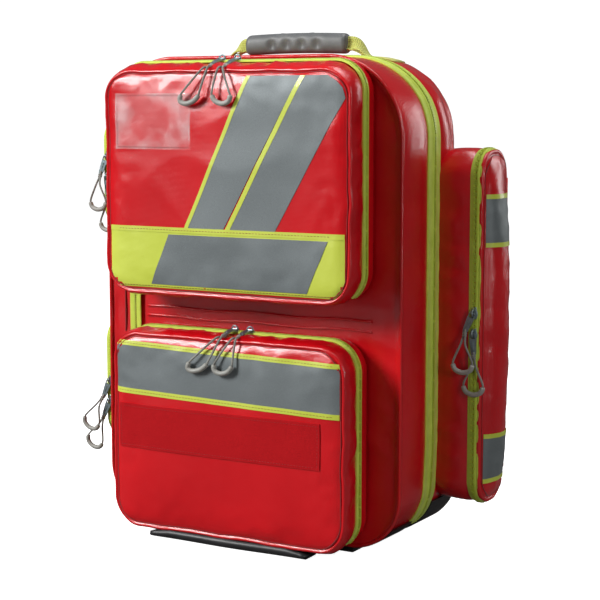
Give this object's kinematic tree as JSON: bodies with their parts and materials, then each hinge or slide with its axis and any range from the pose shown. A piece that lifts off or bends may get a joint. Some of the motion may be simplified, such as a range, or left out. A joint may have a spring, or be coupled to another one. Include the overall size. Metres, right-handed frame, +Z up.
{
  "type": "trauma backpack",
  "caption": "Upright clamshell first responder backpack with front and side zip pockets, rubber carry handles, reflective bands and a padded carrying harness.",
  "frame": {"origin": "middle of the rear base guard's foot, on the floor", "axes": "+Z up, -Y towards the pack's front, +X to the right seen from the front"},
  "size_m": [0.5539, 0.282, 0.5725],
  "materials": {
    "red_tarp": "glossy coated tarpaulin with a fine weave",
    "red_piping": "glossy piping",
    "black_boot": "matte moulded guard",
    "inner_sheet": "stiff sheet",
    "grey_lining": "plain lining",
    "black_mesh": "spacer mesh",
    "black_webbing": "ribbed webbing",
    "black_plastic": "moulded buckle",
    "grip_rubber": "moulded grip",
    "lime_webbing": "ribbed webbing",
    "lime_tape": "fluorescent zip tape",
    "clear_window": "soft clear sheet",
    "hook_loop": "looped pile",
    "zip_metal": "grey enamelled metal",
    "grey_cord": "braided cord with a tube grip",
    "silver_tape": "grey reflective tape with a bead texture",
    "lime_trim": "fluorescent trim"
  },
  "bodies": {
    "shell": {"rear_shell": "red_tarp", "base_guard": "black_boot", "frame_sheet": "inner_sheet", "organiser_panel": "grey_lining", "divider_shelf": "grey_lining", "back_panel": "black_mesh", "shoulder_strap_left": "red_tarp", "shoulder_strap_right": "red_tarp", "harness_webbing": "black_webbing", "ladder_locks": "black_plastic", "sternum_socket": "black_plastic", "hip_belt_wings": "red_tarp", "hip_socket": "black_plastic", "handle_anchors": "lime_webbing", "right_pocket_gusset": "red_tarp", "left_pocket_gussets": "red_tarp", "main_zip_shell_tape": "lime_tape"},
    "sternum_clip": {"sternum_clip": "black_plastic"},
    "hip_clip": {"hip_clip": "black_plastic"},
    "top_handle": {"top_handle_grip": "grip_rubber", "top_handle_webbing": "lime_webbing"},
    "side_handle": {"side_handle_grip": "grip_rubber", "side_handle_webbing": "lime_webbing"},
    "right_cap": {"right_pocket_cap": "red_tarp"},
    "left_upper_cap": {"left_upper_cap": "red_tarp"},
    "left_lower_cap": {"left_lower_cap": "red_tarp"},
    "lid": {"lid_shell": "red_tarp", "lid_piping": "red_piping", "lid_base_guard": "black_boot", "upper_pocket_rim": "red_tarp", "lower_pocket_rim": "red_tarp", "main_zip_lid_tape": "lime_tape"},
    "upper_cover": {"upper_pocket_cover": "red_tarp", "id_window": "clear_window"},
    "lower_cover": {"lower_pocket_cover": "red_tarp", "hook_loop_patch": "hook_loop"},
    "upper_slider_a": {"upper_slider_a": "zip_metal"},
    "upper_puller_a": {"upper_puller_a": "grey_cord"},
    "upper_slider_b": {"upper_slider_b": "zip_metal"},
    "upper_puller_b": {"upper_puller_b": "grey_cord"},
    "lower_slider_a": {"lower_slider_a": "zip_metal"},
    "lower_puller_a": {"lower_puller_a": "grey_cord"},
    "lower_slider_b": {"lower_slider_b": "zip_metal"},
    "lower_puller_b": {"lower_puller_b": "grey_cord"},
    "right_slider_a": {"right_slider_a": "zip_metal"},
    "right_puller_a": {"right_puller_a": "grey_cord"},
    "right_slider_b": {"right_slider_b": "zip_metal"},
    "right_puller_b": {"right_puller_b": "grey_cord"},
    "left_upper_slider_a": {"left_upper_slider_a": "zip_metal"},
    "left_upper_puller_a": {"left_upper_puller_a": "grey_cord"},
    "left_upper_slider_b": {"left_upper_slider_b": "zip_metal"},
    "left_upper_puller_b": {"left_upper_puller_b": "grey_cord"},
    "left_lower_slider_a": {"left_lower_slider_a": "zip_metal"},
    "left_lower_puller_a": {"left_lower_puller_a": "grey_cord"},
    "left_lower_slider_b": {"left_lower_slider_b": "zip_metal"},
    "left_lower_puller_b": {"left_lower_puller_b": "grey_cord"},
    "main_slider_a": {"main_slider_a": "zip_metal"},
    "main_puller_a": {"main_puller_a": "grey_cord"},
    "main_slider_b": {"main_slider_b": "zip_metal"},
    "main_puller_b": {"main_puller_b": "grey_cord"}
  },
  "joints": [
    {"name": "lid_hinge", "type": "hinge", "parent": "shell", "child": "lid", "pos_m": [0, -0.044, 0.01], "axis": [1, 0, 0], "range_deg": [0, 100]},
    {"name": "upper_cover_hinge", "type": "hinge", "parent": "lid", "child": "upper_cover", "pos_m": [0, -0.13445, 0.282], "axis": [1, 0, 0], "range_deg": [0, 80]},
    {"name": "lower_cover_hinge", "type": "hinge", "parent": "lid", "child": "lower_cover", "pos_m": [0, -0.13445, 0.011], "axis": [1, 0, 0], "range_deg": [0, 90]},
    {"name": "right_cap_hinge", "type": "hinge", "parent": "shell", "child": "right_cap", "pos_m": [0.23945, 0.036, 0.247], "axis": [0, 0, 1], "range_deg": [0, 110]},
    {"name": "left_upper_cap_hinge", "type": "hinge", "parent": "shell", "child": "left_upper_cap", "pos_m": [-0.25545, 0.036, 0.41], "axis": [0, 0, -1], "range_deg": [0, 110]},
    {"name": "left_lower_cap_hinge", "type": "hinge", "parent": "shell", "child": "left_lower_cap", "pos_m": [-0.25545, 0.036, 0.152], "axis": [0, 0, -1], "range_deg": [0, 110]},
    {"name": "top_handle_swing", "type": "hinge", "parent": "shell", "child": "top_handle", "pos_m": [0, -0.004, 0.548], "axis": [1, 0, 0], "range_deg": [-45, 45], "stiffness_Nm_per_rad": 0.1},
    {"name": "side_handle_swing", "type": "hinge", "parent": "shell", "child": "side_handle", "pos_m": [-0.194, -0.022, 0.281], "axis": [0, 0, 1], "range_deg": [-60, 30]},
    {"name": "sternum_buckle", "type": "slide", "parent": "shell", "child": "sternum_clip", "axis": [1, 0, 0], "range_m": [0, 0.02]},
    {"name": "hip_buckle", "type": "slide", "parent": "shell", "child": "hip_clip", "axis": [1, 0, 0], "range_m": [0, 0.022]},
    {"name": "upper_zip_a", "type": "slide", "parent": "upper_cover", "child": "upper_slider_a", "axis": [-1, 0, 0], "range_m": [0, 0.09]},
    {"name": "upper_pull_a", "type": "hinge", "parent": "upper_slider_a", "child": "upper_puller_a", "pos_m": [-0.021, -0.13445, 0.5442], "axis": [-1, 0, 0], "range_deg": [0, 60]},
    {"name": "upper_zip_b", "type": "slide", "parent": "upper_cover", "child": "upper_slider_b", "axis": [1, 0, 0], "range_m": [0, 0.11]},
    {"name": "upper_pull_b", "type": "hinge", "parent": "upper_slider_b", "child": "upper_puller_b", "pos_m": [-0.001, -0.13445, 0.5442], "axis": [-1, 0, 0], "range_deg": [0, 60]},
    {"name": "lower_zip_a", "type": "slide", "parent": "lower_cover", "child": "lower_slider_a", "axis": [-1, 0, 0], "range_m": [0, 0.09]},
    {"name": "lower_pull_a", "type": "hinge", "parent": "lower_slider_a", "child": "lower_puller_a", "pos_m": [-0.006, -0.13445, 0.2442], "axis": [-1, 0, 0], "range_deg": [0, 60]},
    {"name": "lower_zip_b", "type": "slide", "parent": "lower_cover", "child": "lower_slider_b", "axis": [1, 0, 0], "range_m": [0, 0.085]},
    {"name": "lower_pull_b", "type": "hinge", "parent": "lower_slider_b", "child": "lower_puller_b", "pos_m": [0.014, -0.13445, 0.2442], "axis": [-1, 0, 0], "range_deg": [0, 60]},
    {"name": "right_zip_a", "type": "slide", "parent": "right_cap", "child": "right_slider_a", "axis": [0, 0, 1], "range_m": [0, 0.135]},
    {"name": "right_pull_a", "type": "hinge", "parent": "right_slider_a", "child": "right_puller_a", "pos_m": [0.23945, -0.0342, 0.266], "axis": [-1, 0, 0], "range_deg": [0, 100]},
    {"name": "right_zip_b", "type": "slide", "parent": "right_cap", "child": "right_slider_b", "axis": [0, 0, -1], "range_m": [0, 0.15]},
    {"name": "right_pull_b", "type": "hinge", "parent": "right_slider_b", "child": "right_puller_b", "pos_m": [0.23945, -0.0342, 0.243], "axis": [-1, 0, 0], "range_deg": [0, 100]},
    {"name": "left_upper_zip_a", "type": "slide", "parent": "left_upper_cap", "child": "left_upper_slider_a", "axis": [0, 0, 1], "range_m": [0, 0.014]},
    {"name": "left_upper_pull_a", "type": "hinge", "parent": "left_upper_slider_a", "child": "left_upper_puller_a", "pos_m": [-0.25545, -0.0342, 0.43], "axis": [-1, 0, 0], "range_deg": [0, 100]},
    {"name": "left_upper_zip_b", "type": "slide", "parent": "left_upper_cap", "child": "left_upper_slider_b", "axis": [0, 0, -1], "range_m": [0, 0.029]},
    {"name": "left_upper_pull_b", "type": "hinge", "parent": "left_upper_slider_b", "child": "left_upper_puller_b", "pos_m": [-0.25545, -0.0342, 0.406], "axis": [-1, 0, 0], "range_deg": [0, 100]},
    {"name": "left_lower_zip_a", "type": "slide", "parent": "left_lower_cap", "child": "left_lower_slider_a", "axis": [0, 0, 1], "range_m": [0, 0.043]},
    {"name": "left_lower_pull_a", "type": "hinge", "parent": "left_lower_slider_a", "child": "left_lower_puller_a", "pos_m": [-0.25545, -0.0342, 0.15], "axis": [-1, 0, 0], "range_deg": [0, 100]},
    {"name": "left_lower_zip_b", "type": "slide", "parent": "left_lower_cap", "child": "left_lower_slider_b", "axis": [0, 0, -1], "range_m": [0, 0.015]},
    {"name": "left_lower_pull_b", "type": "hinge", "parent": "left_lower_slider_b", "child": "left_lower_puller_b", "pos_m": [-0.25545, -0.0342, 0.125], "axis": [-1, 0, 0], "range_deg": [0, 100]},
    {"name": "main_zip_a", "type": "slide", "parent": "lid", "child": "main_slider_a", "axis": [0, 0, 1], "range_m": [0, 0.2]},
    {"name": "main_pull_a", "type": "hinge", "parent": "main_slider_a", "child": "main_puller_a", "pos_m": [-0.1967, -0.044, 0.222], "axis": [0, 1, 0], "range_deg": [0, 90]},
    {"name": "main_zip_b", "type": "slide", "parent": "lid", "child": "main_slider_b", "axis": [0, 0, -1], "range_m": [0, 0.1]},
    {"name": "main_pull_b", "type": "hinge", "parent": "main_slider_b", "child": "main_puller_b", "pos_m": [-0.1967, -0.044, 0.199], "axis": [0, 1, 0], "range_deg": [0, 90]}
  ]
}
